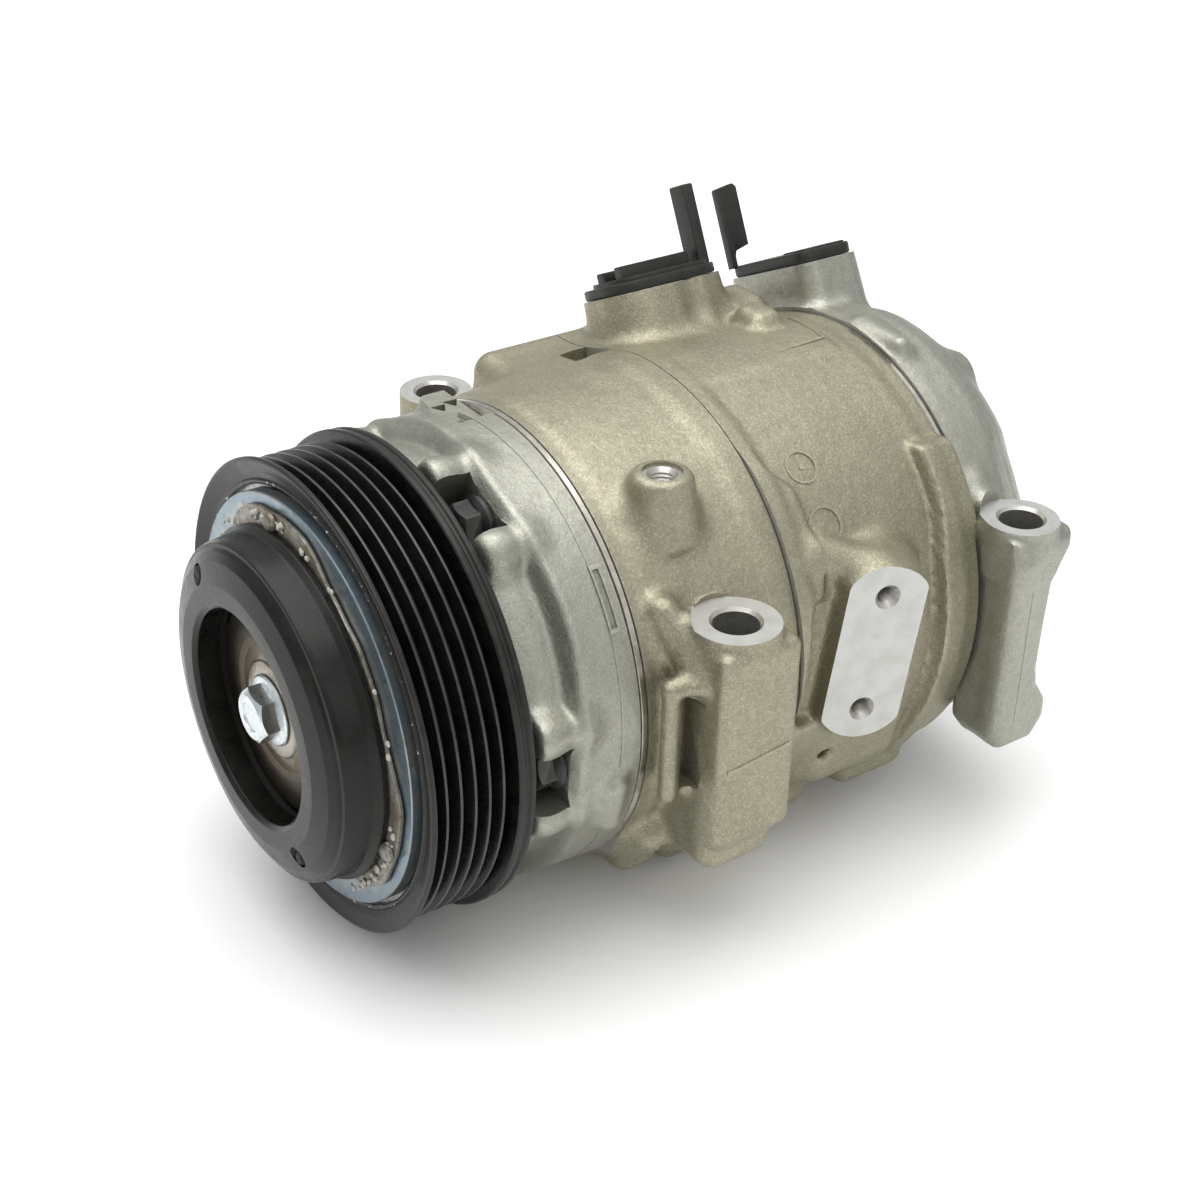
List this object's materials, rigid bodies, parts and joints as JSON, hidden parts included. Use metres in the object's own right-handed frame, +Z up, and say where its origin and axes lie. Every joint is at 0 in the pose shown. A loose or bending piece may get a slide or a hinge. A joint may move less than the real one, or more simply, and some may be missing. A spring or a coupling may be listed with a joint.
{
  "type": "automotive air conditioning compressor",
  "caption": "Belt-driven swash-plate air conditioning compressor with magnetic clutch, grooved pulley, split cast cylinder blocks, mounting lugs and capped ports.",
  "frame": {"origin": "middle of the footprint, at the level of the lowest point of the body", "axes": "+Y along the drive shaft from the clutch end to the rear housing, +Z up along the lug bolt bores, +X towards the pair of long lugs and the sensor pad"},
  "size_m": [0.158, 0.2138, 0.1481],
  "materials": {
    "cast_smooth": "fine die-cast",
    "cast_block": "sand-coloured sparkling die-cast",
    "machined": "machined",
    "steel": "ground",
    "zinc": "bright zinc plated",
    "black_steel": "black coated",
    "pulley_black": "gloss black",
    "blued_steel": "blued, slightly iridescent",
    "rusty_steel": "dull, heat and grease stained",
    "rubber": "matt",
    "black_plastic": "moulded",
    "coil_plastic": "potted",
    "brass": "plain"
  },
  "bodies": {
    "housing": {"front_housing": "cast_smooth", "front_cylinder": "cast_block", "rear_cylinder": "cast_block", "rear_housing": "cast_smooth", "front_valve_plate": "steel", "rear_valve_plate": "steel", "front_discharge_reed": "steel", "rear_discharge_reed": "steel", "through_bolt_1": "black_steel", "through_bolt_2": "black_steel", "through_bolt_3": "black_steel", "through_bolt_4": "black_steel", "through_bolt_5": "black_steel", "clutch_coil": "coil_plastic", "bearing_inner_ring": "steel", "pulley_snap_ring": "black_steel", "shaft_seal": "rubber", "seal_snap_ring": "steel", "front_radial_bearing": "steel", "rear_radial_bearing": "steel", "front_thrust_bearing": "steel", "rear_thrust_bearing": "steel", "relief_valve": "zinc"},
    "pulley": {"pulley": "pulley_black", "bearing_outer_ring": "steel", "bearing_ball_cage": "brass"},
    "drive": {"shaft": "steel", "swash_plate": "steel", "shaft_hub": "rusty_steel", "hub_damper": "rubber", "clutch_hub": "black_steel", "centre_bolt": "zinc"},
    "armature": {"armature_plate": "blued_steel", "spring_plate": "rusty_steel", "armature_rivet_1": "steel", "armature_rivet_2": "steel", "armature_rivet_3": "steel"},
    "piston_1": {"piston_1": "machined", "piston_1_front_shoe": "steel", "piston_1_rear_shoe": "steel"},
    "piston_2": {"piston_2": "machined", "piston_2_front_shoe": "steel", "piston_2_rear_shoe": "steel"},
    "piston_3": {"piston_3": "machined", "piston_3_front_shoe": "steel", "piston_3_rear_shoe": "steel"},
    "piston_4": {"piston_4": "machined", "piston_4_front_shoe": "steel", "piston_4_rear_shoe": "steel"},
    "piston_5": {"piston_5": "machined", "piston_5_front_shoe": "steel", "piston_5_rear_shoe": "steel"},
    "front_cap": {"front_port_cap": "black_plastic"},
    "rear_cap": {"rear_port_cap": "black_plastic"}
  },
  "joints": [
    {"name": "pulley_spin", "type": "hinge", "parent": "housing", "child": "pulley", "pos_m": [0.0068, -0.0911, 0.06], "axis": [0, 1, 0], "continuous": true},
    {"name": "drive_spin", "type": "hinge", "parent": "housing", "child": "drive", "pos_m": [0.0068, -0.0911, 0.06], "axis": [0, 1, 0], "continuous": true},
    {"name": "armature_slide", "type": "slide", "parent": "drive", "child": "armature", "axis": [0, 1, 0], "range_m": [0, 0.00045], "stiffness_N_per_m": 20000},
    {"name": "piston_1_stroke", "type": "slide", "parent": "housing", "child": "piston_1", "axis": [0, 1, 0], "range_m": [-0.00478, 0.01522]},
    {"name": "piston_2_stroke", "type": "slide", "parent": "housing", "child": "piston_2", "axis": [0, 1, 0], "range_m": [-0.00028, 0.01972]},
    {"name": "piston_3_stroke", "type": "slide", "parent": "housing", "child": "piston_3", "axis": [0, 1, 0], "range_m": [-0.00922, 0.01078]},
    {"name": "piston_4_stroke", "type": "slide", "parent": "housing", "child": "piston_4", "axis": [0, 1, 0], "range_m": [-0.01924, 0.00076]},
    {"name": "piston_5_stroke", "type": "slide", "parent": "housing", "child": "piston_5", "axis": [0, 1, 0], "range_m": [-0.01649, 0.00351]},
    {"name": "front_cap_lift", "type": "slide", "parent": "housing", "child": "front_cap", "axis": [-0.4384, 0, 0.8988], "range_m": [0, 0.03]},
    {"name": "rear_cap_lift", "type": "slide", "parent": "housing", "child": "rear_cap", "axis": [-0.4384, 0, 0.8988], "range_m": [0, 0.03]}
  ]
}
